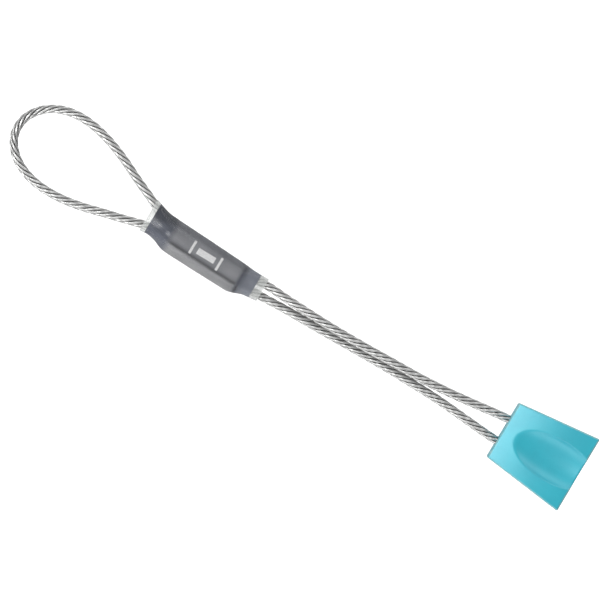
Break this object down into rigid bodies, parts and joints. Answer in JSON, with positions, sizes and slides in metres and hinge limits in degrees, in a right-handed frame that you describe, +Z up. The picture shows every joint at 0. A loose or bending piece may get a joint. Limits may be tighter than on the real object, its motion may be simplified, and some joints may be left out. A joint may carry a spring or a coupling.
{
  "type": "wired climbing nut",
  "caption": "Tapered chock head with a scooped face on a swaged loop of wire rope, with a clip-in eye at the other end and a heat-shrink sleeve over the ferrule.",
  "frame": {"origin": "under the middle of the whole nut, on the surface that it lies on", "axes": "+X along the stem from the clip-in loop to the wide end of the head, +Y to the left seen from the clip-in loop, +Z up out of the scooped face"},
  "size_m": [0.2321, 0.0338, 0.0194],
  "materials": {
    "anodised_head": "satin turquoise anodising",
    "wire_rope": "galvanised stranded wire",
    "ferrule": "pressed, satin",
    "label_film": "smoky translucent printed film",
    "heat_shrink": "clear shrunk tube"
  },
  "bodies": {
    "swage": {"swage_ferrule": "ferrule", "label_film": "label_film", "heat_shrink_sleeve": "heat_shrink", "wire_through_run": "wire_rope", "wire_end_leg_side": "wire_rope", "wire_end_loop_side": "wire_rope"},
    "eye": {"clip_loop": "wire_rope", "loop_left_bend": "wire_rope", "loop_right_bend": "wire_rope"},
    "stem_root": {"leg_left_bend_1": "wire_rope", "leg_right_bend_1": "wire_rope"},
    "stem": {"leg_left_bend_2": "wire_rope", "leg_right_bend_2": "wire_rope", "leg_left": "wire_rope", "leg_right": "wire_rope", "wire_crown": "wire_rope"},
    "head": {"chock_head": "anodised_head"}
  },
  "joints": [
    {"name": "loop_flex", "type": "hinge", "parent": "swage", "child": "eye", "pos_m": [-0.0644, -0.0009, 0.006], "axis": [0, 1, 0], "range_deg": [-35, 35], "stiffness_Nm_per_rad": 1, "deforming": ["loop_left_bend", "loop_right_bend"]},
    {"name": "stem_lift", "type": "hinge", "parent": "swage", "child": "stem_root", "pos_m": [-0.0046, -0.0037, 0.0064], "axis": [0, -1, 0], "range_deg": [-40, 40], "stiffness_Nm_per_rad": 0.8, "deforming": ["leg_left_bend_1", "leg_right_bend_1"]},
    {"name": "stem_swing", "type": "hinge", "parent": "stem_root", "child": "stem", "pos_m": [0.009, -0.0038, 0.0067], "axis": [0, 0, 1], "range_deg": [-30, 30], "stiffness_Nm_per_rad": 0.8, "deforming": ["leg_left_bend_2", "leg_right_bend_2"]},
    {"name": "head_slide", "type": "slide", "parent": "stem", "child": "head", "axis": [-1, 0, 0], "range_m": [0, 0.008]}
  ]
}
